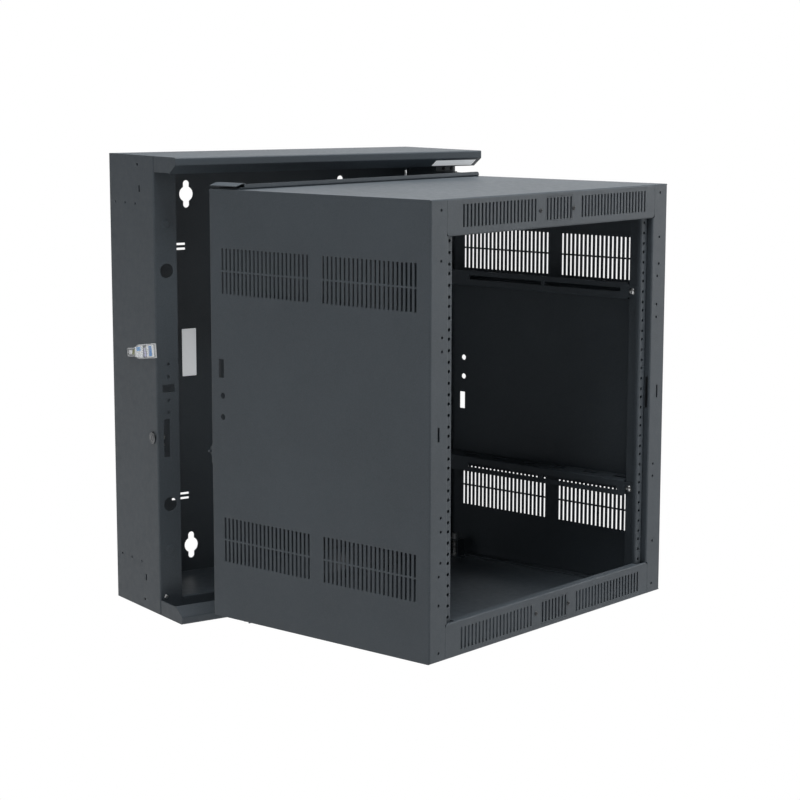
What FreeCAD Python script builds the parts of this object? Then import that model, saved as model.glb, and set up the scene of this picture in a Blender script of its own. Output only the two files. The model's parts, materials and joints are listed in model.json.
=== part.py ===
import FreeCAD, Part
import math
import os

# Swing-out sectional wall rack: a wall pan, a rack section hinged to it, hinge pins and a key lock.
# Millimetres. X points right, Y into the wall and Z up. The origin is the centre of the pan's rear face.
# The rack section is drawn closed and then swung open about its hinge pins.

V = FreeCAD.Vector

# --- Sheet metal -----------------------------------------------------------------------------
SHEET = 1.5
BEND = 1.0                   # inside bend radius
CLEAR = 0.3                  # gap between pieces that move or drop in

# --- Wall pan --------------------------------------------------------------------------------
PAN_INSET = 1.75             # pan's sides inside the rack section's sides
PAN_ROOM = 38.3              # pan's height over and under the rack section's
PAN_SIDE_DEPTH = 148.0
PAN_FLANGE = 38.0            # front flange of each side
PAN_JOIN = 16.0              # flanges that join the pan's sheets
HOOD_REACH = 71.5            # hood and ledge in front of the side walls
HOOD_LIP = 12.0
HOOD_RETURN_DROP = 13.0      # the lip's slanted return
HOOD_RETURN_DEPTH = 20.0
SIDE_LIP = 10.0              # stiffening lip behind the front flange
CAP_GAP = 3.0                # gap between an end cap and the side's flange
RIVET_RISE = 3.0
RIVET_INSET = 10.7
RIVET_RADIUS = 3.2
RIVET_HEIGHT = 1.6
KEYHOLE_SPACING_X = 292.0
KEYHOLE_DROP = 67.75          # from the pan's top and base to the keyholes
KEYHOLE_RADIUS = 12.3
KEYHOLE_SLOT = 11.0
KEYHOLE_LENGTH = 43.7
LACING_DROPS = (147.5, 155.2)  # from the pan's top and base to the rear wall's lacing slots
LACING_MIDDLE = 164.75       # from the pan's middle
LACING_LENGTH = 31.5
LACING_HEIGHT = 3.6
KNOCKOUT_RADIUS = 11.0
KNOCKOUT_DROP = 174.2
FLANGE_MIDDLE = 20.2         # knockout and screw holes, from the pan's side
FLANGE_HOLE_DROPS = (318.3, 337.3)
FLANGE_HOLE_RADIUS = 2.4
BOSS_DROP = 103.0            # stamped boss in each side's flange
BOSS_RADIUS = 8.0
BOSS_HEIGHT = 1.0
FLANGE_SLOT = (20.6, 12.0)   # slot at the flange's mid-height, wide and high
WALL_HOLES = ((52.5, 14.5, 2.2), (61.6, 74.3, 1.7), (95.7, 74.3, 1.7), (128.8, 74.3, 1.7))
WALL_SLOT_PLACE = (45.0, 46.0)   # behind the flange's face, from the pan's top
WALL_SLOT_SIZE = (4.0, 10.0)

# --- Rack section ----------------------------------------------------------------------------
RACK_UNITS = 12
UNIT_HEIGHT = 44.45
OPENING_WIDTH = 450.85       # 19 inch rack opening between the rails
RACK_SIDE_ROOM = 56.075      # from the opening to the rack section's sides
RACK_DEPTH = 419.0
FASCIA = 50.5                # vented front panel over and under the rack opening
RACK_GAP = 15.0              # rack section's rear edge to the pan's side flanges, closed
RACK_DROP = 3.5              # rack section's centre under the pan's centre
RACK_FLANGE = 38.0
RACK_FLANGE_NARROW = 34.0    # flange beside the fascia
RACK_RETURN = 12.0
REAR_FLANGE = 19.0
FLANGE_HOLES = ((22, 14.5), (22, 82.5), (24.5, 185.5), (24.5, 204.5), (23.5, 432.5), (23.5, 452),
                (23, 495.3), (19.5, 514), (19.5, 554.4), (19.5, 621.8))
FLANGE_HOLE = 2.0
MID_SLOT_START = 16.0        # upright slot at the flange's mid-height, from the rack's side
MID_SLOT_SIZE = (4.0, 20.0)
RETURN_SLOT_START = 3.5      # slot in the flange's return, behind the flange's face
RETURN_SLOT_SIZE = (5.0, 48.0)
EDGE_START = 4.0             # side's top and bottom edges, behind the flange's return
SIDE_SLOT_DROP = 247.0       # slot near the side's rear edge
SIDE_SLOT_LENGTH = 28.0
SIDE_SLOT_WIDTH = 10.8
SIDE_SLOT_SETBACK = 21.5
SIDE_HOLE_DROPS = (301.3, 333.0)
SIDE_HOLE_RADIUS = 4.4
SIDE_HOLE_SETBACK = 24.0
UNIT_HOLES = (6.35, 22.225, 38.1)
RAIL_HOLE_INSET = 7.125      # from the opening to the rail holes
RAIL_HOLE_RADIUS = 2.4       # 10-32 thread
RAIL_SETBACK = 8.0
RAIL_SHEET = 2.0
RAIL_LEG = 30.0
RAIL_LIP = 6.5
RAIL_ROOM = 1.5              # rail's leg to the side's flange
RAIL_OVERLAP = 9.0           # rail behind the fascia

# --- Vents -----------------------------------------------------------------------------------
VENT_PITCH = 8.0
VENT_SLOT = 3.6
SIDE_VENT_SLOTS = 22
SIDE_VENT_TOP = 85.0         # from the rack's top to the first row
SIDE_VENT_ROW = 31.8
SIDE_VENT_BRIDGE = 2.6
SIDE_VENT_MARGIN = 24.5      # from the rack's front and rear edges
FASCIA_VENT_SLOTS = 21
FASCIA_VENT_TOP = 8.5
FASCIA_VENT_LENGTH = 31.0
FASCIA_VENT_GAP = 22.45      # from the vented insert to the slots beside it
FASCIA_CORNER = 7.0          # round lower corners of the fascia
INSERT_START = -27.5         # vented insert in the fascia, from the rack's middle
INSERT_MARGIN = 2.2
INSERT_LAP = 3.0
INSERT_BACK = 1.0
INSERT_SLOTS = 8
FASCIA_SCREW_LEFT = 12.0     # screws, from the insert's left and right edges
FASCIA_SCREW_RIGHT = 2.8
SCREW_HEAD = 3.4

# --- Braces inside the rack ------------------------------------------------------------------
BRACE_HEIGHT = 25.0
BRACE_TOP = 151.0            # from the rack's top to the upper braces
BRACE_SHEET = 1.5
BRACE_LIP = 10.0             # lip on the side wall
BRACE_SLOT_HEIGHT = 6.5
BRACE_SLOT_RISE = 14.0       # from the brace's flange to the long slots' middle
BRACE_SLOT_START = 54.0      # from the rack's front
BRACE_SLOT_LENGTH = 145.0
BRACE_SLOT_BRIDGE = 7.0
BRACE_LACING = (26.0, 12.0)  # lacing slots in the flange, long and wide
BRACE_LACING_START = 61.5
BRACE_LACING_PITCH = 60.0
BRACE_LACING_COUNT = 6
BRACE_GAP = 2.0              # brace's front end behind the rail's leg
EAR_START = 8.0              # brace's ear behind the rail's face
EAR_MARGIN = 3.0
BOLT_SETBACK = 24.0          # brace bolts behind the rail's face
BOLT_HEAD = 6.0

# --- Hinge -----------------------------------------------------------------------------------
SWING = 15.5                 # degrees open
PIVOT_INSET = 33.0           # pin axis from the rack's right side
PIVOT_SETBACK = 33.5         # pin axis from the rack's rear edge
BAR_DEPTH = 58.0
BAR_SHEET = 2.0
BAR_FLANGE = 7.5
BAR_INSET = 7.0
BAR_CORNER = 4.5
BAR_NOTCH = 9.0              # flange left off at the bar's free end
LEAD_IN_SHEET = 1.2
LEAD_IN_INSET = 0.5
LEAD_IN = ((2.0, 0.0), (5.5, 13.0), (5.5, 20.0), (0.0, 26.0), (0.0, 40.0))  # rise and distance along it
PIN_RADIUS = 4.0
PIN_FIT = 0.05
BUSH_RADIUS = 5.5
BUSH_COLLAR = 8.0
BUSH_COLLAR_HEIGHT = 1.2
TONGUE_SHEET = 2.5
TONGUE_HALF = 10.0
BUSH_TAIL = 1.0              # bush below the cover's underside
TONGUE_WIDE = 10.0           # length over which the bracket keeps its full width
PIN_HOUSING = 28.0           # clear height inside the pin's housing
HOUSING_HALF = 11.0
HOUSING_HALF_WIDTH = 9.0
HOUSING_FOOT = 8.0
PIN_TIP = 0.8                # pin above the bracket's tongue
PIN_COLLAR = 6.8
COLLAR_HEIGHT = 3.0
KNOB_RADIUS = 6.0
KNOB_HEIGHT = 9.0
SPRING_RADIUS = 5.6
SPRING_WIRE = 1.0
SPRING_TURNS = 5
SPRING_SIDES = 8             # straight runs to a turn
SPRING_END = 0.1             # wire's ends to the collar and the floor
BRACKET_INSET = 4.0
BRACKET_RISE = 19.0          # bracket on the pan's flange, over its tongue
BRACKET_SCREW_RISE = 7.3
BRACKET_SCREWS = (9.5, 25.5)  # from the pan's right side
STUD_PLACE = 118.5           # ground stud, from the rack's middle
STUD_RADIUS = 1.6
STUD_HEIGHT = 12.5
STUD_NUT = 3.6
STUD_NUT_HEIGHT = 2.6

# --- Lock ------------------------------------------------------------------------------------
LOCK_DROP = 432.7            # from the pan's top to the lock's axis
LOCK_SETBACK = 15.3          # behind the side's front flange face
LOCK_RADIUS = 7.0
LOCK_HEAD = 9.5
LOCK_HEAD_HEIGHT = 2.2
LOCK_BARREL = 10.0
LOCK_NUT = 3.5
PLUG_RADIUS = 4.5
PLUG_STEM = 3.5
KEYWAY = (1.4, 6.4)
LOCK_SLOT_HEIGHT = 59.0
LOCK_SLOT_START = 11.3       # from the pan's left side
LOCK_SLOT_WIDTH = 10.0
KEEPER_PIN_RADIUS = 2.0
KEEPER_SHEET = 2.0
KEEPER_MARGIN = 1.0          # keeper's arm inside the slot's right edge
KEEPER_REACH = 9.0           # keeper pin in front of the lock's axis, closed
KEEPER_PIN = 5.5
KEEPER_ARM = 12.0
KEEPER_PLATE = 28.0
HOOK_START = 14.2            # from the pan's left side
HOOK_INNER = 11.6
HOOK_OUTER = 14.6
HOOK_HUB = 6.0
HOOK_SHEET = 2.5
HOOK_SCREW_RIM = 1.0
HOOK_SCREW_HEIGHT = 1.5

# --- Keys and labels -------------------------------------------------------------------------
SLEEVE_LENGTH = 102.0
SLEEVE_WIDTH = 23.0
SLEEVE_HEIGHT = 4.0
SLEEVE_FILM = 0.4
SLEEVE_SETBACK = 47.5
SLEEVE_DROP = 302.0
SLEEVE_TILT = -8.0
KEY_BOW = 8.5
KEY_BLADE = 28.0
KEY_BLADE_HALF = 3.0
KEY_EYE = 2.2
KEY_SHEET = 1.2
KEY_PLACES = ((2.0, -22.0), (3.3, 8.0))  # off the wall, along the sleeve
LABEL_SHEET = 0.2
REAR_LABEL = (135.0, 285.3, 25.4, 77.0)  # middle from the pan's left, drop, wide and high
HOOD_LABEL = (78.0, 16.0)
HOOD_LABEL_MARGINS = (8.0, 3.0)

# --- Places that follow from the sizes above ---------------------------------------------------
RACK_WIDTH = OPENING_WIDTH + 2 * RACK_SIDE_ROOM
RACK_HEIGHT = RACK_UNITS * UNIT_HEIGHT + 2 * FASCIA
HOLE_SPAN = OPENING_WIDTH + 2 * RAIL_HOLE_INSET
FASCIA_VENT_WIDTH = (FASCIA_VENT_SLOTS - 1) * VENT_PITCH + VENT_SLOT
INSERT_VENT_WIDTH = (INSERT_SLOTS - 1) * VENT_PITCH + VENT_SLOT
INSERT_WIDTH = INSERT_VENT_WIDTH + 2 * INSERT_MARGIN
INSERT_END = INSERT_START + INSERT_WIDTH
PAN_WIDTH = RACK_WIDTH - 2 * PAN_INSET
PAN_HEIGHT = RACK_HEIGHT + 2 * PAN_ROOM
PAN_LEFT = -PAN_WIDTH / 2
PAN_RIGHT = PAN_WIDTH / 2
PAN_TOP = PAN_HEIGHT / 2
PAN_BASE = -PAN_HEIGHT / 2
PAN_FRONT = -PAN_SIDE_DEPTH
HOOD_FRONT = PAN_FRONT - HOOD_REACH
HOOD_DEPTH = HOOD_LIP + HOOD_RETURN_DROP

RACK_LEFT = -RACK_WIDTH / 2
RACK_RIGHT = RACK_WIDTH / 2
RACK_REAR = PAN_FRONT - RACK_GAP
RACK_FRONT = RACK_REAR - RACK_DEPTH
RACK_MID = -RACK_DROP
RACK_TOP = RACK_MID + RACK_HEIGHT / 2
RACK_BASE = RACK_MID - RACK_HEIGHT / 2
OPENING_TOP = RACK_TOP - FASCIA
OPENING_BASE = RACK_BASE + FASCIA
PIVOT_X = RACK_RIGHT - PIVOT_INSET
PIVOT_Y = RACK_REAR - PIVOT_SETBACK
BRACE_FACE = RACK_LEFT + RACK_FLANGE + RAIL_ROOM + RAIL_SHEET

LOCK_Z = PAN_TOP - LOCK_DROP
LOCK_Y = PAN_FRONT + LOCK_SETBACK


# --- Small helpers ---------------------------------------------------------------------------
def box(x0, x1, y0, y1, z0, z1):
    return Part.makeBox(x1 - x0, y1 - y0, z1 - z0, V(x0, y0, z0))


def rod(radius, start, end):
    axis = end - start
    return Part.makeCylinder(radius, axis.Length, start, axis)


def flat_face(points):
    return Part.Face(Part.makePolygon(points + points[:1]))


def corners(sides, radius, centre, axis):
    """Corners of a polygon with flats one radius from a centre, square to an axis along X, Y or Z."""
    across = V(axis.y, axis.z, axis.x).normalize()
    corner = across * (radius / math.cos(math.pi / sides))
    turns = [FreeCAD.Rotation(axis, 360 * (side + 0.5) / sides) for side in range(sides)]
    return [centre + turn.multVec(corner) for turn in turns]


def prism(sides, radius, start, end):
    """Many-sided rod for what is small or repeats."""
    axis = end - start
    return flat_face(corners(sides, radius, start, axis)).extrude(axis)


def punch(radius, start, end):
    """Tool for a small punched hole."""
    return prism(6, radius, start, end)


def head(radius, height, base, direction, sides=8):
    """Low screw head, rivet head or boss with sloping flanks, flat side at base."""
    way = V(direction) * height
    foot = corners(sides, radius, base, way)
    top = corners(sides, 0.6 * radius, base + way, way)
    flanks = [flat_face([foot[i - 1], foot[i], top[i], top[i - 1]]) for i in range(sides)]
    return Part.makeSolid(Part.makeShell([flat_face(foot), flat_face(top)] + flanks))


def fused(solids):
    shape = solids[0].multiFuse(solids[1:]) if len(solids) > 1 else solids[0]
    return shape.removeSplitter()


def cut(shape, tools):
    return shape.cut(Part.makeCompound(tools)) if tools else shape


def bent_track(points, offset, thickness, rounded=True):
    """Edges of one face of a bent sheet: the path moved sideways by offset, with round or sharp bends."""
    ways = [(b - a).normalize() for a, b in zip(points, points[1:])]
    lefts = [V(-w.y, w.x, 0) for w in ways]
    edges = []
    last = points[0] + lefts[0] * offset
    for corner, way, nxt, left, left_nxt in zip(points[1:], ways, ways[1:], lefts, lefts[1:]):
        apex = corner + (left + left_nxt) * (offset / (1 + left.dot(left_nxt)))
        if not rounded:
            edges.append(Part.makeLine(last, apex))
            last = apex
            continue
        turn = math.atan2(way.cross(nxt).z, way.dot(nxt))
        toward_metal = turn * thickness > 0
        outer_face = (offset == 0) == toward_metal
        radius = BEND + abs(thickness) if outer_face else BEND
        reach = radius * math.tan(abs(turn) / 2)
        inward = (nxt - way).normalize()
        middle = apex + inward * (radius / math.cos(turn / 2) - radius)
        edges.append(Part.makeLine(last, apex - way * reach))
        edges.append(Part.Arc(apex - way * reach, middle, apex + nxt * reach).toShape())
        last = apex + nxt * reach
    edges.append(Part.makeLine(last, points[-1] + lefts[-1] * offset))
    return edges


PLANES = {"xy": ((1, 0, 0), (0, 1, 0), (0, 0, 1)),
          "yz": ((0, 1, 0), (0, 0, 1), (1, 0, 0)),
          "zx": ((0, 0, 1), (1, 0, 0), (0, 1, 0))}


def run_across(edges, plane, start, end):
    """Solid with a closed profile in one plane, run across it from start to end."""
    profile = Part.Face(Part.Wire(Part.__sortEdges__(edges)))
    solid = profile.extrude(V(0, 0, end - start))
    first, second, third = (V(way) for way in PLANES[plane])
    solid.Placement = FreeCAD.Placement(FreeCAD.Matrix(
        first.x, second.x, third.x, third.x * start,
        first.y, second.y, third.y, third.y * start,
        first.z, second.z, third.z, third.z * start,
        0, 0, 0, 1))
    return solid


def ends(edges):
    return edges[0].Vertexes[0].Point, edges[-1].Vertexes[-1].Point


def bent_sheet(points, plane, start, end, thickness, rounded=True):
    """Sheet bent along a path in a plane and run from start to end across it.

    The path is one face of the sheet. The metal lies on the path's left, or on its right
    where the thickness is negative.
    """
    flat = [V(u, v, 0) for u, v in points]
    near = bent_track(flat, 0, thickness, rounded)
    far = bent_track(flat, thickness, thickness, rounded)
    (near_start, near_end), (far_start, far_end) = ends(near), ends(far)
    closing = [Part.makeLine(near_start, far_start), Part.makeLine(near_end, far_end)]
    return run_across(near + far + closing, plane, start, end)


def slot_row(count, start, pitch, make):
    return [make(start + index * pitch) for index in range(count)]


def flip_over(shape):
    """Turned half a turn about the rack section's long axis, as the second of a pair of sides is."""
    shape = shape.copy()
    shape.rotate(V(0, 0, RACK_MID), V(0, 1, 0), 180)
    return shape


def mirrored_z(shape, height=0.0):
    return shape.mirror(V(0, 0, height), V(0, 0, 1))


def mirrored_x(shape):
    return shape.mirror(V(0, 0, 0), V(1, 0, 0))


def group(solids):
    return Part.makeCompound(solids)


# --- Wall pan --------------------------------------------------------------------------------
def keyhole(x, z):
    """Tool for a round hole with a slot up and down through it."""
    half_slot = KEYHOLE_SLOT / 2
    reach = KEYHOLE_LENGTH / 2 - half_slot
    front = -2 * SHEET
    hole = prism(24, KEYHOLE_RADIUS, V(x, front, z), V(x, SHEET, z))
    slot = box(x - half_slot, x + half_slot, front, SHEET, z - reach, z + reach)
    slot_ends = [prism(12, half_slot, V(x, front, level), V(x, SHEET, level))
                 for level in (z - reach, z + reach)]
    return fused([hole, slot] + slot_ends)


def pan_rear():
    """Flat wall plate with a joining edge forward on all four sides."""
    plate = box(PAN_LEFT + SHEET, PAN_RIGHT - SHEET, -SHEET, 0, PAN_BASE + SHEET, PAN_TOP - SHEET)
    edge_l = box(PAN_LEFT + SHEET, PAN_LEFT + 2 * SHEET, -PAN_JOIN, 0, PAN_BASE + SHEET, PAN_TOP - SHEET)
    edge_t = box(PAN_LEFT + SHEET, PAN_RIGHT - SHEET, -PAN_JOIN, 0, PAN_TOP - 2 * SHEET, PAN_TOP - SHEET)
    solid = fused([plate, edge_l, mirrored_x(edge_l), edge_t, mirrored_z(edge_t)])
    half_x = KEYHOLE_SPACING_X / 2
    half_z = PAN_TOP - KEYHOLE_DROP
    half_length = LACING_LENGTH / 2
    half_height = LACING_HEIGHT / 2
    holes = [keyhole(x, z) for x in (-half_x, half_x) for z in (-half_z, half_z)]
    for x in (-LACING_MIDDLE, LACING_MIDDLE):
        for drop in LACING_DROPS:
            for z in (PAN_TOP - drop, PAN_BASE + drop):
                holes.append(box(x - half_length, x + half_length, -2 * SHEET, SHEET,
                                 z - half_height, z + half_height))
    return cut(solid, holes)


def pan_side_blank(side_features):
    """The left side: wall with a front flange, its stamped bosses and a stiffening lip."""
    path = [(PAN_LEFT + PAN_FLANGE, PAN_FRONT), (PAN_LEFT, PAN_FRONT), (PAN_LEFT, 0)]
    wall = bent_sheet(path, "xy", PAN_BASE + SHEET, PAN_TOP - SHEET, -SHEET)
    lip_start = PAN_LEFT + PAN_FLANGE - SHEET
    lip_top = PAN_TOP - HOOD_DEPTH - SIDE_LIP
    lip = box(lip_start, PAN_LEFT + PAN_FLANGE, PAN_FRONT, PAN_FRONT + SIDE_LIP, -lip_top, lip_top)
    boss_x = PAN_LEFT + FLANGE_MIDDLE
    bosses = [head(BOSS_RADIUS, BOSS_HEIGHT, V(boss_x, PAN_FRONT, z), V(0, -1, 0), 16)
              for z in (PAN_TOP - BOSS_DROP, PAN_BASE + BOSS_DROP)]
    return cut(fused([wall, lip] + bosses), side_features)


def pan_side_holes():
    """Tools for the knockouts, screw holes and slots that both sides have, drawn at the left."""
    inside = PAN_LEFT + 2 * SHEET
    outside = PAN_LEFT - SHEET
    front = PAN_FRONT - SHEET
    back = PAN_FRONT + 2 * SHEET
    middle = PAN_LEFT + FLANGE_MIDDLE
    tools = []
    for sign in (1, -1):
        z = sign * (PAN_TOP - KNOCKOUT_DROP)
        tools.append(prism(20, KNOCKOUT_RADIUS, V(middle, front, z), V(middle, back, z)))
        for drop in FLANGE_HOLE_DROPS:
            z = sign * (PAN_TOP - drop)
            tools.append(punch(FLANGE_HOLE_RADIUS, V(middle, front, z), V(middle, back, z)))
        for setback, drop, radius in WALL_HOLES:
            y = PAN_FRONT + setback
            z = sign * (PAN_TOP - drop)
            tools.append(punch(radius, V(outside, y, z), V(inside, y, z)))
        near, drop = WALL_SLOT_PLACE
        wide, tall = WALL_SLOT_SIZE
        slot = box(outside, inside, PAN_FRONT + near, PAN_FRONT + near + wide,
                   PAN_TOP - drop - tall, PAN_TOP - drop)
        tools.append(slot if sign > 0 else mirrored_z(slot))
    wide, tall = FLANGE_SLOT
    tools.append(box(middle - wide / 2, middle + wide / 2, front, back, -tall / 2, tall / 2))
    return tools


def lock_slot():
    """Opening in the flange that the rack section's keeper enters."""
    left = PAN_LEFT + LOCK_SLOT_START
    half = LOCK_SLOT_HEIGHT / 2
    return box(left, left + LOCK_SLOT_WIDTH, PAN_FRONT - SHEET, PAN_FRONT + 2 * SHEET,
               LOCK_Z - half, LOCK_Z + half)


def lock_hole():
    return prism(16, LOCK_RADIUS + PIN_FIT, lock_point(-SHEET), lock_point(2 * SHEET))


def pan_shelf():
    """Inner shelf level with the hood's return: it boxes in the pan's end behind the side flanges."""
    left = PAN_LEFT + 2 * SHEET + CLEAR
    level = PAN_TOP - HOOD_DEPTH
    face = PAN_FRONT + SHEET
    path = [(-SHEET, level), (face, level), (face, PAN_TOP - SHEET)]
    return bent_sheet(path, "yz", left, -left, -SHEET)


def hood_path(back):
    lip_end = PAN_TOP - HOOD_LIP
    return [(back, PAN_TOP), (HOOD_FRONT, PAN_TOP), (HOOD_FRONT, lip_end),
            (HOOD_FRONT + HOOD_RETURN_DEPTH, PAN_TOP - HOOD_DEPTH)]


def hood():
    """Top cover of the pan: plate, front lip and slanted return."""
    return bent_sheet(hood_path(0), "yz", PAN_LEFT, PAN_RIGHT, SHEET)


def hood_end_cap():
    """Left end cap: closes the hood's section in front of the side wall."""
    back = PAN_FRONT - CAP_GAP
    inner = bent_track([V(y, z, 0) for y, z in hood_path(back)], SHEET, SHEET)
    top_back, low_front = ends(inner)
    low_back = V(back, low_front.y, 0)
    closing = [Part.makeLine(low_front, low_back), Part.makeLine(low_back, top_back)]
    return run_across(inner + closing, "yz", PAN_LEFT, PAN_LEFT + SHEET)


def ledge_rivet():
    """Rivet that holds the ledge to the left side's flange."""
    z = PAN_BASE + HOOD_DEPTH + RIVET_RISE
    return head(RIVET_RADIUS, RIVET_HEIGHT, V(PAN_LEFT + RIVET_INSET, PAN_FRONT, z), V(0, -1, 0))


# --- Rack section ----------------------------------------------------------------------------
def side_vents():
    """Two rows of slots in two groups, high and low on the side wall."""
    tools = []
    group_length = (SIDE_VENT_SLOTS - 1) * VENT_PITCH + VENT_SLOT
    starts = (RACK_FRONT + SIDE_VENT_MARGIN, RACK_REAR - SIDE_VENT_MARGIN - group_length)
    for start in starts:
        for drop in (SIDE_VENT_TOP, SIDE_VENT_TOP + SIDE_VENT_ROW + SIDE_VENT_BRIDGE):
            for z in (RACK_TOP - drop - SIDE_VENT_ROW, RACK_BASE + drop):
                tools += slot_row(SIDE_VENT_SLOTS, start, VENT_PITCH, lambda y, low=z: box(
                    RACK_LEFT - 1, RACK_LEFT + 2 * SHEET, y, y + VENT_SLOT, low, low + SIDE_VENT_ROW))
    return tools


def rack_side():
    """Left side of the rack section: wall, front flange with return, rear flange, top and bottom edges."""
    flange = RACK_LEFT + RACK_FLANGE
    narrow = RACK_LEFT + RACK_FLANGE_NARROW
    top = RACK_TOP - SHEET
    base = RACK_BASE + SHEET
    path = [(RACK_LEFT + REAR_FLANGE, RACK_REAR), (RACK_LEFT, RACK_REAR), (RACK_LEFT, RACK_FRONT),
            (flange, RACK_FRONT), (flange, RACK_FRONT + RACK_RETURN)]
    shell = bent_sheet(path, "xy", base, top, SHEET)
    edge = box(RACK_LEFT + SHEET / 2, RACK_LEFT + REAR_FLANGE,
               RACK_FRONT + RACK_RETURN + EDGE_START, RACK_REAR - SHEET / 2, top - SHEET, top)
    shell = fused([shell, edge, mirrored_z(edge, RACK_MID)])
    tools = side_vents()
    for z0, z1 in ((OPENING_TOP, RACK_TOP), (RACK_BASE, OPENING_BASE)):
        tools.append(box(narrow, flange + 1, RACK_FRONT - 1, RACK_FRONT + RACK_RETURN + 1, z0, z1))
    outside = RACK_LEFT - 1
    inside = RACK_LEFT + 2 * SHEET
    slot_y = RACK_REAR - SIDE_SLOT_SETBACK
    slot_top = RACK_TOP - SIDE_SLOT_DROP
    tools.append(box(outside, inside, slot_y - SIDE_SLOT_WIDTH / 2, slot_y + SIDE_SLOT_WIDTH / 2,
                     slot_top - SIDE_SLOT_LENGTH, slot_top))
    for drop in SIDE_HOLE_DROPS:
        y = RACK_REAR - SIDE_HOLE_SETBACK
        z = RACK_TOP - drop
        tools.append(prism(12, SIDE_HOLE_RADIUS, V(outside, y, z), V(inside, y, z)))
    for inset, drop in FLANGE_HOLES:
        x = RACK_LEFT + inset
        z = RACK_TOP - drop
        tools.append(punch(FLANGE_HOLE, V(x, RACK_FRONT - 1, z), V(x, RACK_FRONT + 2 * SHEET, z)))
    wide, tall = MID_SLOT_SIZE
    slot_x = RACK_LEFT + MID_SLOT_START
    tools.append(box(slot_x, slot_x + wide, RACK_FRONT - 1, RACK_FRONT + 2 * SHEET,
                     RACK_MID - tall / 2, RACK_MID + tall / 2))
    deep, tall = RETURN_SLOT_SIZE
    slot_y = RACK_FRONT + RETURN_SLOT_START
    tools.append(box(flange - 2 * SHEET, flange + 1, slot_y, slot_y + deep,
                     RACK_MID - tall / 2, RACK_MID + tall / 2))
    return cut(shell, tools)


def fascia_corner(x, way):
    """Sharp corner outside a round one, to take off the fascia's lower end."""
    radius = FASCIA_CORNER
    inner = x + way * radius
    square = box(min(x, inner), max(x, inner), RACK_FRONT - 1, RACK_FRONT + RACK_RETURN + 1,
                 OPENING_TOP - 1, OPENING_TOP + radius)
    centre = V(inner, RACK_FRONT - 2, OPENING_TOP + radius)
    return square.cut(rod(radius, centre, centre + V(0, RACK_RETURN + 4, 0)))


def rack_cover():
    """Top cover: plate with a vented front fascia, its return and a rear edge."""
    path = [(RACK_REAR, RACK_TOP - PAN_JOIN), (RACK_REAR, RACK_TOP), (RACK_FRONT, RACK_TOP),
            (RACK_FRONT, OPENING_TOP), (RACK_FRONT + RACK_RETURN, OPENING_TOP)]
    sheet = bent_sheet(path, "yz", RACK_LEFT, RACK_RIGHT, SHEET)
    end = RACK_FLANGE_NARROW + CLEAR
    tools = []
    for x0, x1, way in ((RACK_LEFT - 1, RACK_LEFT + end, 1), (RACK_RIGHT - end, RACK_RIGHT + 1, -1)):
        tools.append(box(x0, x1, RACK_FRONT - 1, RACK_FRONT + RACK_RETURN + 1,
                         OPENING_TOP - 1, RACK_TOP - SHEET))
        tools.append(fascia_corner(x1 if way > 0 else x0, way))
        rear_end = REAR_FLANGE + CLEAR
        r0 = RACK_LEFT - 1 if way > 0 else RACK_RIGHT - rear_end
        tools.append(box(r0, r0 + rear_end + 1, RACK_REAR - 2 * SHEET - 1, RACK_REAR + 1,
                         RACK_TOP - PAN_JOIN - 1, RACK_TOP - SHEET))
    rail_room = RACK_SIDE_ROOM + RAIL_SHEET + CLEAR
    for x0, x1 in ((RACK_LEFT, RACK_LEFT + rail_room), (RACK_RIGHT - rail_room, RACK_RIGHT)):
        tools.append(box(x0, x1, RACK_FRONT + 2 * SHEET, RACK_FRONT + RACK_RETURN + 1,
                         OPENING_TOP - 1, OPENING_TOP + 2 * SHEET))
    low = RACK_TOP - FASCIA_VENT_TOP - FASCIA_VENT_LENGTH
    for start in (INSERT_START - FASCIA_VENT_GAP - FASCIA_VENT_WIDTH, INSERT_END + FASCIA_VENT_GAP):
        tools += slot_row(FASCIA_VENT_SLOTS, start, VENT_PITCH, lambda x: box(
            x, x + VENT_SLOT, RACK_FRONT - 1, RACK_FRONT + 2 * SHEET, low, low + FASCIA_VENT_LENGTH))
    tools.append(box(INSERT_START, INSERT_END, RACK_FRONT - 1, RACK_FRONT + 2 * SHEET,
                     low - INSERT_MARGIN, low + FASCIA_VENT_LENGTH + INSERT_MARGIN))
    bush = V(PIVOT_X, PIVOT_Y, RACK_TOP)
    tools.append(prism(16, BUSH_RADIUS, bush - V(0, 0, 3), bush + V(0, 0, 1)))
    return cut(sheet, tools)


def vent_insert():
    """Small vented plate that fills the window in the fascia, with a wider backing plate."""
    low = RACK_TOP - FASCIA_VENT_TOP - FASCIA_VENT_LENGTH
    base = low - INSERT_MARGIN
    top = low + FASCIA_VENT_LENGTH + INSERT_MARGIN
    behind = RACK_FRONT + SHEET
    face = box(INSERT_START + CLEAR, INSERT_END - CLEAR, RACK_FRONT, behind, base + CLEAR, top - CLEAR)
    back = box(INSERT_START - INSERT_LAP, INSERT_END + INSERT_LAP, behind, behind + INSERT_BACK,
               base - INSERT_LAP, top + INSERT_LAP)
    slots = slot_row(INSERT_SLOTS, INSERT_START + INSERT_MARGIN, VENT_PITCH, lambda x: box(
        x, x + VENT_SLOT, RACK_FRONT - 1, behind + 2 * INSERT_BACK, low, low + FASCIA_VENT_LENGTH))
    return cut(fused([face, back]), slots)


def fascia_screws():
    """Screws beside the vented inserts."""
    heads = []
    for x in (INSERT_START - FASCIA_SCREW_LEFT, INSERT_END + FASCIA_SCREW_RIGHT):
        for z in (RACK_TOP - FASCIA / 2, RACK_BASE + FASCIA / 2):
            heads.append(head(SCREW_HEAD, SCREW_HEAD / 2, V(x, RACK_FRONT, z), V(0, -1, 0)))
    return group(heads)


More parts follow.
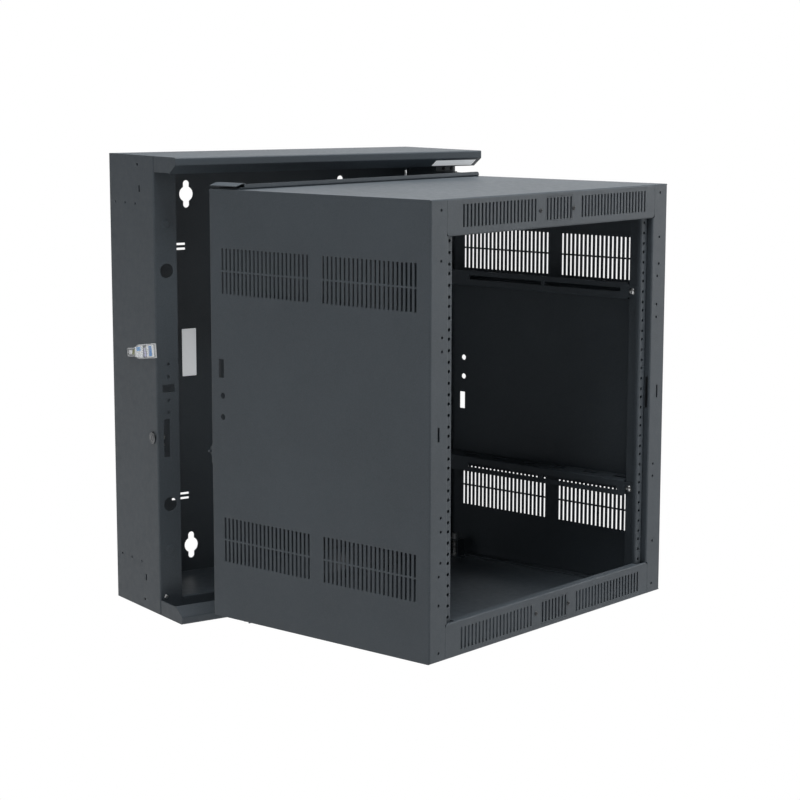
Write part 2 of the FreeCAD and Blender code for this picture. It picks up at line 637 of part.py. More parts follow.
def rack_rail():
    """Left rack rail: an angle with a lip along the opening and the standard hole pattern in its face."""
    hole_x = -HOLE_SPAN / 2
    inner = -OPENING_WIDTH / 2
    outer = RACK_LEFT + RACK_FLANGE + RAIL_ROOM
    front = RACK_FRONT + RAIL_SETBACK
    path = [(inner, front + RAIL_LIP), (inner, front), (outer, front), (outer, front + RAIL_LEG)]
    rail = bent_sheet(path, "xy", OPENING_BASE - RAIL_OVERLAP, OPENING_TOP + RAIL_OVERLAP, -RAIL_SHEET)
    heights = [OPENING_TOP - unit * UNIT_HEIGHT - step for unit in range(RACK_UNITS) for step in UNIT_HOLES]
    tools = []
    for z in heights:
        tool = rod if z in (heights[0], heights[-1]) else punch
        tools.append(tool(RAIL_HOLE_RADIUS, V(hole_x, front - 1, z), V(hole_x, front + RAIL_SHEET + 1, z)))
    return cut(rail, tools)


def brace():
    """Upper left brace: an angle on the side wall that carries the rail.

    Two long slots run along its web, and lacing slots along its flange.
    """
    wall = RACK_LEFT + SHEET
    top = RACK_TOP - BRACE_TOP
    low = top - BRACE_HEIGHT
    start = RACK_FRONT + RAIL_SETBACK + RAIL_LEG + BRACE_GAP
    end = RACK_REAR - 2 * SHEET
    inner = BRACE_FACE + BRACE_SHEET
    path = [(top, inner), (low, inner), (low, wall), (low + BRACE_LIP, wall)]
    angle = bent_sheet(path, "zx", start, end, BRACE_SHEET)
    ear = box(BRACE_FACE, inner, RACK_FRONT + RAIL_SETBACK + EAR_START, start + BRACE_GAP,
              low + EAR_MARGIN, top - EAR_MARGIN)
    tools = []
    slot_z = low + BRACE_SLOT_RISE
    for index in (0, 1):
        y = RACK_FRONT + BRACE_SLOT_START + index * (BRACE_SLOT_LENGTH + BRACE_SLOT_BRIDGE)
        tools.append(box(BRACE_FACE - 1, inner + 1, y, y + BRACE_SLOT_LENGTH,
                         slot_z - BRACE_SLOT_HEIGHT / 2, slot_z + BRACE_SLOT_HEIGHT / 2))
    long, wide = BRACE_LACING
    middle = (wall + BRACE_FACE) / 2
    tools += slot_row(BRACE_LACING_COUNT, RACK_FRONT + BRACE_LACING_START, BRACE_LACING_PITCH, lambda y: box(
        middle - wide / 2, middle + wide / 2, y - long / 2, y + long / 2, low - 1, low + 2 * BRACE_SHEET))
    return cut(fused([angle, ear]), tools)


def brace_bolts():
    """Round-headed bolts through the braces' ears into the rails."""
    z = RACK_TOP - BRACE_TOP - BRACE_HEIGHT / 2
    y = RACK_FRONT + RAIL_SETBACK + BOLT_SETBACK
    bolt = head(BOLT_HEAD, 0.6 * BOLT_HEAD, V(BRACE_FACE + BRACE_SHEET, y, z), V(1, 0, 0), 12)
    left = [bolt, mirrored_z(bolt, RACK_MID)]
    return group(left + [mirrored_x(piece) for piece in left])


def hinge_bar():
    """Top hinge bar: an angle on the cover with its flange upright at the front, round at the hinge end."""
    back = RACK_REAR - 1
    front = RACK_REAR - BAR_DEPTH
    left = RACK_LEFT + BAR_INSET
    right = RACK_RIGHT - BAR_INSET
    path = [(back, RACK_TOP), (front, RACK_TOP), (front, RACK_TOP + BAR_FLANGE)]
    bar = bent_sheet(path, "yz", left, right, -BAR_SHEET)
    over = RACK_TOP + 2 * BAR_FLANGE
    level = RACK_TOP + BAR_FLANGE - BAR_CORNER
    corner = box(right - BAR_CORNER, right + 1, front - 1, front + 2 * BAR_SHEET, level, over)
    centre = V(right - BAR_CORNER, front - 2, level)
    corner = corner.cut(rod(BAR_CORNER, centre, centre + V(0, 4 * BAR_SHEET, 0)))
    notch = box(left - 1, left + BAR_NOTCH, front - 1, front + BAR_SHEET + BEND + 1,
                RACK_TOP + BAR_SHEET + 1, over)
    bush = V(PIVOT_X, PIVOT_Y, RACK_TOP)
    hole = prism(16, BUSH_RADIUS, bush - V(0, 0, 1), bush + V(0, 0, 2 * BAR_SHEET))
    return cut(bar, [corner, notch, hole])


def lead_in():
    """Spring-steel ramp on the free end of the top bar that guides the section under the hood."""
    left = RACK_LEFT + LEAD_IN_INSET
    front = RACK_REAR - BAR_DEPTH + BAR_SHEET + BEND
    back = RACK_REAR - BAR_SHEET
    seat = RACK_TOP + BAR_SHEET
    path = [(seat + rise, left + along) for rise, along in LEAD_IN]
    return bent_sheet(path, "zx", front, back, -LEAD_IN_SHEET, False)


def hinge_bush():
    """Plated bush through the cover and the hinge bar, with a collar on top and the pin's bore."""
    centre = V(PIVOT_X, PIVOT_Y, RACK_TOP)
    seat = centre + V(0, 0, BAR_SHEET)
    barrel = prism(16, BUSH_RADIUS, centre - V(0, 0, SHEET + BUSH_TAIL), seat)
    collar = prism(16, BUSH_COLLAR, seat, seat + V(0, 0, BUSH_COLLAR_HEIGHT))
    bore = rod(PIN_RADIUS + PIN_FIT, centre - V(0, 0, BUSH_COLLAR), centre + V(0, 0, BUSH_COLLAR))
    return barrel.fuse(collar).cut(bore).removeSplitter()


def tongue_level():
    return RACK_TOP + BAR_SHEET + BUSH_COLLAR_HEIGHT + CLEAR


def hinge_bracket():
    """Bracket screwed to the pan's right flange: its tongue reaches over the rack section to the pin."""
    level = tongue_level()
    right = PAN_RIGHT - BRACKET_INSET
    tip = PIVOT_Y - TONGUE_HALF
    path = [(PAN_FRONT, level + BRACKET_RISE), (PAN_FRONT, level), (tip, level)]
    plate = bent_sheet(path, "yz", PIVOT_X - TONGUE_HALF, right, -TONGUE_SHEET)
    over = level + 2 * TONGUE_SHEET
    tools = [rod(PIN_RADIUS + PIN_FIT, V(PIVOT_X, PIVOT_Y, level - 1), V(PIVOT_X, PIVOT_Y, over))]
    if right > PIVOT_X + TONGUE_HALF:
        tools.append(box(PIVOT_X + TONGUE_HALF, right + 1, tip - 1, PAN_FRONT - TONGUE_WIDE, level - 1, over))
    return cut(plate, tools)


def bracket_screws():
    face = PAN_FRONT - TONGUE_SHEET
    z = tongue_level() + BRACKET_SCREW_RISE
    return [head(SCREW_HEAD, SCREW_HEAD / 2, V(PAN_RIGHT - inset, face, z), V(0, -1, 0))
            for inset in BRACKET_SCREWS]


def under_cover(drop):
    """Point on the top pin's axis, a drop below the cover's underside."""
    return V(PIVOT_X, PIVOT_Y, RACK_TOP - SHEET - drop)


def pin_housing():
    """U-shaped bracket under the cover that guides the hinge pin and holds its spring."""
    floor = under_cover(PIN_HOUSING).z
    top = under_cover(0).z
    rear = PIVOT_Y + HOUSING_HALF
    front = PIVOT_Y - HOUSING_HALF
    path = [(front - HOUSING_FOOT, top), (front, top), (front, floor), (rear, floor), (rear, top),
            (rear + HOUSING_FOOT, top)]
    sheet = bent_sheet(path, "yz", PIVOT_X - HOUSING_HALF_WIDTH, PIVOT_X + HOUSING_HALF_WIDTH, -SHEET, False)
    around = 2 * SHEET
    bore = rod(PIN_RADIUS + PIN_FIT, under_cover(PIN_HOUSING + around), under_cover(PIN_HOUSING - around))
    return cut(sheet, [bore])


def hinge_pin():
    """Spring-loaded hinge pin with a collar under the bush and a round pull knob."""
    tip = V(PIVOT_X, PIVOT_Y, tongue_level() + TONGUE_SHEET + PIN_TIP)
    knob_top = under_cover(PIN_HOUSING + SHEET + CLEAR)
    shank = rod(PIN_RADIUS, knob_top, tip)
    collar = prism(12, PIN_COLLAR, under_cover(BUSH_TAIL + COLLAR_HEIGHT), under_cover(BUSH_TAIL))
    knob = prism(16, KNOB_RADIUS, knob_top - V(0, 0, KNOB_HEIGHT), knob_top)
    return fused([shank, collar, knob])


def pin_spring():
    """Coil spring between the pin's collar and the housing's floor, in straight runs."""
    half = SPRING_WIRE / 2
    floor = under_cover(PIN_HOUSING - half - SPRING_END)
    rise = under_cover(BUSH_TAIL + COLLAR_HEIGHT + half + SPRING_END).z - floor.z
    runs = SPRING_TURNS * SPRING_SIDES
    points = []
    for index in range(runs + 1):
        turn = 2 * math.pi * index / SPRING_SIDES
        points.append(floor + V(SPRING_RADIUS * math.cos(turn), SPRING_RADIUS * math.sin(turn),
                                rise * index / runs))
    start = points[0]
    square = [start + V(u * half, 0, v * half) for u, v in ((-1, -1), (1, -1), (1, 1), (-1, 1), (-1, -1))]
    return Part.Wire(Part.makePolygon(points)).makePipeShell([Part.makePolygon(square)], True, False, 1)


# --- Lock ------------------------------------------------------------------------------------
def lock_point(inset):
    """Point on the lock's axis, inset from the pan's left side."""
    return V(PAN_LEFT + inset, LOCK_Y, LOCK_Z)


def lock_body():
    """Cam lock's body: flanged head outside the wall and barrel through it."""
    flange = prism(24, LOCK_HEAD, lock_point(-LOCK_HEAD_HEIGHT), lock_point(0))
    barrel = prism(16, LOCK_RADIUS, lock_point(0), lock_point(LOCK_BARREL))
    bore = rod(PLUG_RADIUS, lock_point(-LOCK_HEAD), lock_point(2 * LOCK_BARREL))
    return flange.fuse(barrel).cut(bore).removeSplitter()


def lock_nut():
    hexagon = prism(6, LOCK_HEAD, lock_point(SHEET), lock_point(SHEET + LOCK_NUT))
    return hexagon.cut(prism(16, LOCK_RADIUS, lock_point(0), lock_point(LOCK_BARREL)))


def lock_plug():
    """Turning plug with the keyway across its face, and the stem that carries the hook."""
    back = LOCK_BARREL + CLEAR
    plug = rod(PLUG_RADIUS - PIN_FIT, lock_point(-LOCK_HEAD_HEIGHT - CLEAR), lock_point(back))
    stem = prism(12, PLUG_STEM, lock_point(back), lock_point(HOOK_START + HOOK_SHEET))
    wide, tall = KEYWAY
    keyway = box(PAN_LEFT - LOCK_HEAD, PAN_LEFT + LOCK_BARREL / 2, LOCK_Y - wide / 2, LOCK_Y + wide / 2,
                 LOCK_Z - tall / 2, LOCK_Z + tall / 2)
    return plug.fuse(stem).cut(keyway).removeSplitter()


def lock_hook():
    """Hook on the plug: a curved jaw that passes round the keeper pin. Drawn unlocked, jaw down."""
    jaw_start = 238.0
    arm_start = 300.0
    arm_end = 326.0

    def around(radius, first, last):
        steps = 6
        angles = [math.radians(first + (last - first) * step / steps) for step in range(steps + 1)]
        return [lock_point(HOOK_START) + V(0, radius * math.cos(a), radius * math.sin(a)) for a in angles]

    def sector(inner, outer, first, last):
        return flat_face(around(outer, first, last) + around(inner, last, first)).extrude(V(HOOK_SHEET, 0, 0))

    jaw = sector(HOOK_INNER, HOOK_OUTER, jaw_start, arm_end)
    arm = sector(PLUG_STEM, HOOK_OUTER, arm_start, arm_end)
    hub = prism(16, HOOK_HUB, lock_point(HOOK_START), lock_point(HOOK_START + HOOK_SHEET))
    stem = prism(12, PLUG_STEM, lock_point(HOOK_START - 1), lock_point(HOOK_START + HOOK_SHEET + 1))
    return fused([jaw, arm, hub]).cut(stem)


def lock_screw():
    start = HOOK_START + HOOK_SHEET
    return prism(8, PLUG_STEM + HOOK_SCREW_RIM, lock_point(start), lock_point(start + HOOK_SCREW_HEIGHT))


def keeper():
    """Keeper on the rack section's rear flange: an arm with a cross pin for the lock's hook."""
    right = PAN_LEFT + LOCK_SLOT_START + LOCK_SLOT_WIDTH - KEEPER_MARGIN
    left = right - KEEPER_SHEET
    pin_y = LOCK_Y - KEEPER_REACH
    half_plate = KEEPER_PLATE / 2
    half_arm = KEEPER_ARM / 2
    plate = box(RACK_LEFT + SHEET, right, RACK_REAR, RACK_REAR + KEEPER_SHEET,
                LOCK_Z - half_plate, LOCK_Z + half_plate)
    arm = box(left, right, RACK_REAR, pin_y + KEEPER_PIN_RADIUS + CLEAR, LOCK_Z - half_arm, LOCK_Z + half_arm)
    pin = prism(12, KEEPER_PIN_RADIUS, V(left - KEEPER_PIN, pin_y, LOCK_Z), V(left, pin_y, LOCK_Z))
    return fused([plate, arm, pin])


# --- Keys, labels and small parts ------------------------------------------------------------
def tilted(shape, centre, angle):
    shape.rotate(centre, V(1, 0, 0), angle)
    return shape


def key_sleeve_and_keys():
    """Clear sleeve with two keys, fixed flat on the pan's left side."""
    centre = V(PAN_LEFT, PAN_FRONT + SLEEVE_SETBACK, PAN_TOP - SLEEVE_DROP)

    def flat_box(margin):
        half_y = SLEEVE_LENGTH / 2 - margin
        half_z = SLEEVE_WIDTH / 2 - margin
        outside = PAN_LEFT - SLEEVE_HEIGHT + margin
        return box(outside, PAN_LEFT - margin, centre.y - half_y, centre.y + half_y,
                   centre.z - half_z, centre.z + half_z)

    def key(x, bow):
        plate = prism(12, KEY_BOW, V(x, bow, centre.z), V(x + KEY_SHEET, bow, centre.z))
        blade = box(x, x + KEY_SHEET, bow, bow + KEY_BLADE,
                    centre.z - KEY_BLADE_HALF, centre.z + KEY_BLADE_HALF)
        eye = V(x - 1, bow - KEY_BOW / 2, centre.z)
        return plate.fuse(blade).cut(punch(KEY_EYE, eye, eye + V(4, 0, 0))).removeSplitter()

    keys = [key(PAN_LEFT - off, centre.y + along) for off, along in KEY_PLACES]
    sleeve = flat_box(0).cut(flat_box(SLEEVE_FILM))
    return tilted(sleeve, centre, SLEEVE_TILT), tilted(group(keys), centre, SLEEVE_TILT)


def rear_label():
    """Plain label on the rear wall."""
    inset, drop, wide, tall = REAR_LABEL
    left = PAN_LEFT + inset - wide / 2
    top = PAN_TOP - drop
    return box(left, left + wide, -SHEET - LABEL_SHEET, -SHEET, top - tall, top)


def hood_label():
    """Plain label on the slanted return of the hood, near its right end."""
    slope = math.atan2(HOOD_RETURN_DROP, HOOD_RETURN_DEPTH)
    length = math.hypot(HOOD_RETURN_DROP, HOOD_RETURN_DEPTH)
    wide, deep = HOOD_LABEL
    end_margin, edge_margin = HOOD_LABEL_MARGINS
    corner = V(PAN_RIGHT - end_margin - wide, length - deep - edge_margin, -LABEL_SHEET)
    plate = Part.makeBox(wide, deep, LABEL_SHEET, corner)
    plate.rotate(V(0, 0, 0), V(1, 0, 0), -math.degrees(slope))
    plate.translate(V(0, HOOD_FRONT, PAN_TOP - HOOD_LIP))
    return plate


def ground_stud():
    """Threaded stud with its nut on the hinge bar."""
    base = V(STUD_PLACE, PIVOT_Y, RACK_TOP + BAR_SHEET)
    stud = prism(8, STUD_RADIUS, base, base + V(0, 0, STUD_HEIGHT))
    nut = prism(6, STUD_NUT, base, base + V(0, 0, STUD_NUT_HEIGHT))
    return fused([stud, nut])


# --- Assembly --------------------------------------------------------------------------------
def swung(shape):
    shape = shape.copy()
    shape.rotate(V(PIVOT_X, PIVOT_Y, 0), V(0, 0, 1), SWING)
    return shape


def build():
    left_side = pan_side_blank(pan_side_holes() + [lock_slot(), lock_hole()])
    right_side = mirrored_x(pan_side_blank(pan_side_holes()))
    cap_left = hood_end_cap()
    cap_right = mirrored_x(cap_left)
    shelf = pan_shelf()
    sleeve, keys = key_sleeve_and_keys()
    bracket = hinge_bracket()
    screws = bracket_screws()
    pan = {
        "pan_rear_wall": pan_rear(),
        "pan_side_left": left_side,
        "pan_side_right": right_side,
        "pan_hood": hood(),
        "pan_ledge": mirrored_z(hood()),
        "hood_end_cap_left": cap_left,
        "hood_end_cap_right": cap_right,
        "ledge_end_cap_left": mirrored_z(cap_left),
        "ledge_end_cap_right": mirrored_z(cap_right),
        "pan_shelf_top": shelf,
        "pan_shelf_bottom": mirrored_z(shelf),
        "ledge_rivet": ledge_rivet(),
        "hinge_bracket_top": bracket,
        "hinge_bracket_bottom": mirrored_z(bracket, RACK_MID),
        "hinge_bracket_screws": group(screws + [mirrored_z(screw, RACK_MID) for screw in screws]),
        "lock_body": lock_body(),
        "lock_nut": lock_nut(),
        "key_sleeve": sleeve,
        "keys": keys,
        "rear_label": rear_label(),
        "hood_label": hood_label(),
        "lock_plug": lock_plug(),
        "lock_hook": lock_hook(),
        "lock_hook_screw": lock_screw(),
    }
    side = rack_side()
    cover = rack_cover()
    insert = vent_insert()
    rail = rack_rail()
    arm = brace()
    bar = hinge_bar()
    bush = hinge_bush()
    housing = pin_housing()
    pin = hinge_pin()
    spring = pin_spring()
    rack = {
        "rack_side_left": side,
        "rack_side_right": flip_over(side),
        "rack_top_cover": cover,
        "rack_bottom_cover": mirrored_z(cover, RACK_MID),
        "vent_insert_top": insert,
        "vent_insert_bottom": mirrored_z(insert, RACK_MID),
        "fascia_screws": fascia_screws(),
        "rack_rail_left": rail,
        "rack_rail_right": mirrored_x(rail),
        "brace_upper_left": arm,
        "brace_lower_left": mirrored_z(arm, RACK_MID),
        "brace_upper_right": mirrored_x(arm),
        "brace_lower_right": mirrored_z(mirrored_x(arm), RACK_MID),
        "brace_bolts": brace_bolts(),
        "hinge_bar_top": bar,
        "hinge_bar_bottom": mirrored_z(bar, RACK_MID),
        "hinge_bar_lead_in": lead_in(),
        "hinge_bush_top": bush,
        "hinge_bush_bottom": mirrored_z(bush, RACK_MID),
        "pin_housing_top": housing,
        "pin_housing_bottom": mirrored_z(housing, RACK_MID),
        "hinge_pin_top": pin,
        "hinge_pin_bottom": mirrored_z(pin, RACK_MID),
        "pin_spring_top": spring,
        "pin_spring_bottom": mirrored_z(spring, RACK_MID),
        "lock_keeper": keeper(),
        "ground_stud": ground_stud(),
    }
    nodes = dict(pan)
    nodes.update({name: swung(shape) for name, shape in rack.items()})
    return nodes


os.makedirs("parts", exist_ok=True)
for node, shape in build().items():
    shape.exportStep("parts/" + node + ".step")
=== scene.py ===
import json
import math

import bmesh
import bpy
from mathutils import Matrix, Vector


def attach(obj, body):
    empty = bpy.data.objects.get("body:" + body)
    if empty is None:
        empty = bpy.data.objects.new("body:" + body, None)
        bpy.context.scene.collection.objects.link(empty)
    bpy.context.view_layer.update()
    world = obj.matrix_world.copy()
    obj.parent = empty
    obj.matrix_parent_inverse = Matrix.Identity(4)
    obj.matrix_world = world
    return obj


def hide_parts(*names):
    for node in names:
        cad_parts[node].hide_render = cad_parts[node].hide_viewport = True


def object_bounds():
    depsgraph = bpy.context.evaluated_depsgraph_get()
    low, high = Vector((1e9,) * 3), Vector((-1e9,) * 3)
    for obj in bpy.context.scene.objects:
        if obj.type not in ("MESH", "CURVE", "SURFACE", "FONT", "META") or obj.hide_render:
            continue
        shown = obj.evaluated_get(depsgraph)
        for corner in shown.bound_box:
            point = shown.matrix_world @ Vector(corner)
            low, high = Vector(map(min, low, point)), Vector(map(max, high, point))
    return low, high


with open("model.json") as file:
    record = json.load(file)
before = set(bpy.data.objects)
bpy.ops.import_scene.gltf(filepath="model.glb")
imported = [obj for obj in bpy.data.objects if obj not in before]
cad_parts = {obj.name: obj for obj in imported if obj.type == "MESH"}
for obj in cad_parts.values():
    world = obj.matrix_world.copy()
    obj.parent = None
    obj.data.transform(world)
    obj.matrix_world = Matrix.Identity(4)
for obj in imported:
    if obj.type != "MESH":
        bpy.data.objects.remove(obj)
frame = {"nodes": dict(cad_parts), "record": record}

CAD_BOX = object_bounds()
MM = 0.001
RACK = "rack_section"
PAN = "wall_pan"


# --- Materials -------------------------------------------------------------------------------
class Nodes:
    """Short way to add and link shader nodes in one material."""

    def __init__(self, name):
        self.material = bpy.data.materials.new(name)
        self.material.use_nodes = True
        self.tree = self.material.node_tree
        self.shader = self.tree.nodes["Principled BSDF"]
        coords = self.tree.nodes.new("ShaderNodeTexCoord")
        self.place = coords.outputs["Object"]

    def add(self, kind, inputs=(), **settings):
        node = self.tree.nodes.new("ShaderNode" + kind)
        for key, value in settings.items():
            setattr(node, key, value)
        for key, value in dict(inputs).items():
            if isinstance(value, bpy.types.NodeSocket):
                self.tree.links.new(value, node.inputs[key])
            else:
                node.inputs[key].default_value = value
        return node

    def link(self, output, socket):
        self.tree.links.new(output, self.shader.inputs[socket])

    def set(self, **values):
        for key, value in values.items():
            self.shader.inputs[key.replace("_", " ")].default_value = value

    def noise(self, scale, detail, rough=0.5):
        inputs = {"Vector": self.place, "Scale": scale, "Detail": detail, "Roughness": rough}
        return self.add("TexNoise", inputs)

    def ramp(self, value, low, high, start, end):
        """Map a value between low and high to a float between start and end."""
        inputs = {"Value": value, "From Min": low, "From Max": high, "To Min": start, "To Max": end}
        return self.add("MapRange", inputs).outputs["Result"]

    def blend(self, factor, first, second):
        """Colour between two colours, each given as numbers or as another node's output."""
        node = self.add("Mix", data_type="RGBA")
        self.tree.links.new(factor, node.inputs["Factor"])
        for socket, colour in ((node.inputs[6], first), (node.inputs[7], second)):
            if isinstance(colour, bpy.types.NodeSocket):
                self.tree.links.new(colour, socket)
            else:
                socket.default_value = (*colour, 1)
        return node.outputs[2]

    def bump(self, height, distance, strength, normal=None):
        inputs = {"Height": height, "Distance": distance, "Strength": strength}
        if normal is not None:
            inputs["Normal"] = normal
        return self.add("Bump", inputs).outputs["Normal"]

    def soft_edges(self, radius):
        return self.add("Bevel", {"Radius": radius}, samples=4).outputs["Normal"]


def shade(colour, factor):
    return tuple(channel * factor for channel in colour)


def powder_coat(name, colour, edge_radius=0.0006):
    """Textured powder coat: fine orange peel, faint mottling and softened edges."""
    m = Nodes(name)
    grain = m.noise(2200.0, 1.0)
    peel = m.noise(620.0, 2.0, 0.6)
    cloud = m.noise(7.0, 3.0)
    dust = m.noise(90.0, 4.0, 0.7)
    mottling = m.ramp(cloud.outputs["Fac"], 0.35, 0.65, 0.0, 1.0)
    base = m.blend(mottling, shade(colour, 0.93), shade(colour, 1.08))
    speckle = m.ramp(peel.outputs["Fac"], 0.35, 0.7, 0.0, 0.5)
    base = m.blend(speckle, base, shade(colour, 1.45))
    m.link(base, "Base Color")
    m.link(m.ramp(dust.outputs["Fac"], 0.3, 0.7, 0.47, 0.58), "Roughness")
    m.set(Specular_IOR_Level=0.5)
    normal = m.soft_edges(edge_radius)
    normal = m.bump(peel.outputs["Fac"], 0.00012, 0.55, normal)
    normal = m.bump(grain.outputs["Fac"], 0.00003, 0.5, normal)
    m.link(normal, "Normal")
    return m.material


def zinc_plate(name, colour, roughness=0.3):
    """Bright zinc plating with fine draw marks and a slightly cloudy tone."""
    m = Nodes(name)
    cloud = m.noise(160.0, 3.0, 0.6)
    marks = m.noise(1500.0, 2.0)
    clouding = m.ramp(cloud.outputs["Fac"], 0.3, 0.7, 0.0, 1.0)
    m.link(m.blend(clouding, shade(colour, 0.86), colour), "Base Color")
    m.link(m.ramp(marks.outputs["Fac"], 0.3, 0.7, roughness - 0.06, roughness + 0.08), "Roughness")
    m.set(Metallic=1.0)
    m.link(m.bump(marks.outputs["Fac"], 0.00002, 0.4, m.soft_edges(0.0003)), "Normal")
    return m.material


def white_paper(name, colour, glow):
    """Matte paper with a slight fibre tone, and a glow that keeps it pale in the shaded pan."""
    m = Nodes(name)
    fibre = m.noise(900.0, 3.0)
    cloud = m.noise(60.0, 2.0)
    tone = m.ramp(cloud.outputs["Fac"], 0.3, 0.7, 0.0, 1.0)
    m.link(m.blend(tone, shade(colour, 0.95), colour), "Base Color")
    m.link(m.ramp(fibre.outputs["Fac"], 0.3, 0.7, 0.45, 0.6), "Roughness")
    m.link(m.bump(fibre.outputs["Fac"], 0.00002, 0.3), "Normal")
    m.set(Emission_Color=(*colour, 1), Emission_Strength=glow)
    return m.material


def clear_film(name, cover):
    """Creased plastic film, see-through where its cover is low."""
    m = Nodes(name)
    crease = m.noise(110.0, 3.0, 0.6)
    m.set(Base_Color=(0.93, 0.95, 0.97, 1), Roughness=0.1, IOR=1.5, Alpha=cover)
    m.link(m.bump(crease.outputs["Fac"], 0.0012, 0.5), "Normal")
    return m.material


LABEL_GLOW = 0.36
CARD_GLOW = 0.25
MATERIALS = {
    "powder_coat": powder_coat("powder_coat_grey", (0.060, 0.0742, 0.088)),
    "bright_zinc": zinc_plate("bright_zinc_plate", (0.72, 0.73, 0.73)),
    "spring_steel": zinc_plate("spring_steel_wire", (0.5, 0.5, 0.5), 0.35),
    # painted reflection: the lock's dark plate colour stands in for the dark surroundings its
    # chrome head reflects
    "black_chrome": zinc_plate("lock_dark_reflection_plate", (0.11, 0.115, 0.12), 0.2),
    "black_screw": powder_coat("black_screw_finish", (0.045, 0.048, 0.052), 0.0003),
    "nickel_key": zinc_plate("nickel_key_plate", (0.62, 0.58, 0.48), 0.25),
    "clear_sleeve": clear_film("clear_sleeve_film", 0.34),
    "white_label": white_paper("white_label_paper", (0.86, 0.88, 0.9), LABEL_GLOW),
}


def dress_cad_nodes():
    """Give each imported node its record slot's material."""
    slots = {entry["node"]: entry["material_slot"] for entry in frame["record"]["subparts"]}
    for name, node in frame["nodes"].items():
        if not node.material_slots:
            node.data.materials.append(None)
        for slot in node.material_slots:
            slot.material = MATERIALS[slots[name]]


# --- Detail pieces ---------------------------------------------------------------------------
# The rack section is stored as far open as its swing can close, so its own axes are turned.
REST_SWING = -frame["record"]["behaviour"]["joints"][0]["range_deg"][0]
RACK_TURN = Matrix.Rotation(math.radians(REST_SWING), 3, "Z")
RACK_X = RACK_TURN @ Vector((1, 0, 0))
RACK_Y = RACK_TURN @ Vector((0, 1, 0))
# Head profiles: (radius, height) as shares of the head's own radius and height.
DOME = ((0.0, 1.0), (0.35, 0.97), (0.65, 0.8), (0.87, 0.5), (1.0, 0.1), (1.0, 0.0))
RECESSED = (
    (0.0, 0.45), (0.34, 0.45), (0.4, 0.96), (0.65, 0.88),
    (0.88, 0.62), (1.0, 0.25), (1.0, 0.0),
)
HEAD_ROUND_SHARE = 0.94  # round radius over the corner radius of the many-sided head
# Lock's body in mm: (radius, height over the wall), from the bore round the head and back.
LOCK_HEAD_HEIGHT = 2.2
LOCK_RINGS = (
    (4.5, -1.0), (4.5, 1.9), (4.8, LOCK_HEAD_HEIGHT), (6.4, LOCK_HEAD_HEIGHT),
    (6.7, 1.8), (7.3, 1.8), (7.6, LOCK_HEAD_HEIGHT), (8.8, LOCK_HEAD_HEIGHT),
    (9.4, 1.6), (9.4, 0.0), (7.0, 0.0), (7.0, -10.0), (4.5, -10.0), (4.5, -1.0),
)
SAME_POINT = 1e-6


def box_corners(node_name):
    """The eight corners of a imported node's box, in the frame."""
    node = frame["nodes"][node_name]
    return [node.matrix_world @ Vector(corner) for corner in node.bound_box]


def group_key(points):
    return tuple(round(value, 4) for value in sum(points, Vector()) / len(points))


def world_points(node):
    """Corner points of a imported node, merged, as groups that hang together, in a fixed order."""
    solid = bmesh.new()
    solid.from_mesh(node.data)
    bmesh.ops.remove_doubles(solid, verts=solid.verts, dist=SAME_POINT)
    left = set(solid.verts)
    groups = []
    while left:
        todo = [left.pop()]
        points = []
        while todo:
            corner = todo.pop()
            points.append(node.matrix_world @ corner.co)
            for edge in corner.link_edges:
                other = edge.other_vert(corner)
                if other in left:
                    left.remove(other)
                    todo.append(other)
        groups.append(points)
    solid.free()
    groups.sort(key=group_key)
    return groups


def piece(name, points, faces, material, body, smooth_angle=35.0):
    """New object of the part that rides on a body; edges over the angle stay sharp."""
    mesh = bpy.data.meshes.new(name)
    mesh.from_pydata([tuple(point) for point in points], [], faces)
    mesh.validate()
    mesh.polygons.foreach_set("use_smooth", [True] * len(mesh.polygons))
    mesh.set_sharp_from_angle(angle=math.radians(smooth_angle))
    mesh.materials.append(material)
    made = bpy.data.objects.new(name, mesh)
    bpy.context.collection.objects.link(made)
    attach(made, body)
    return made


def lathe(profile, foot, way, steps=28):
    """Points and faces of a round form: a profile of (radius, height) turned about an axis."""
    side = way.orthogonal().normalized()
    other = way.cross(side)
    points = []
    for radius, height in profile:
        for step in range(steps):
            turn = math.tau * step / steps
            outward = side * math.cos(turn) + other * math.sin(turn)
            points.append(foot + way * height + outward * radius)
    faces = []
    for ring in range(len(profile) - 1):
        near = ring * steps
        far = near + steps
        for step in range(steps):
            after = (step + 1) % steps
            faces.append((near + step, near + after, far + after, far + step))
    return points, faces


def round_heads(node_name, body, axis, profile, material):
    """Smooth heads in place of a node's many-sided ones, at their sizes and places."""
    points = []
    faces = []
    for group in world_points(frame["nodes"][node_name]):
        centre = sum(group, Vector()) / len(group)
        heights = [(point - centre).dot(axis) for point in group]
        spread = list(zip(group, heights))
        off_axis = [((point - centre) - axis * height).length for point, height in spread]
        low, high = min(heights), max(heights)
        middle = (low + high) / 2
        wide_low = max(off for off, height in zip(off_axis, heights) if height < middle)
        wide_high = max(off for off, height in zip(off_axis, heights) if height >= middle)
        foot, way = (low, axis) if wide_low > wide_high else (high, -axis)
        radius = HEAD_ROUND_SHARE * max(wide_low, wide_high)
        sized = [(radius * r, (high - low) * h) for r, h in profile]
        new_points, new_faces = lathe(sized, centre + axis * foot, way)
        faces += [tuple(corner + len(points) for corner in face) for face in new_faces]
        points += new_points
    made = piece(node_name + "_round", points, faces, material, body)
    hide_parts(node_name)


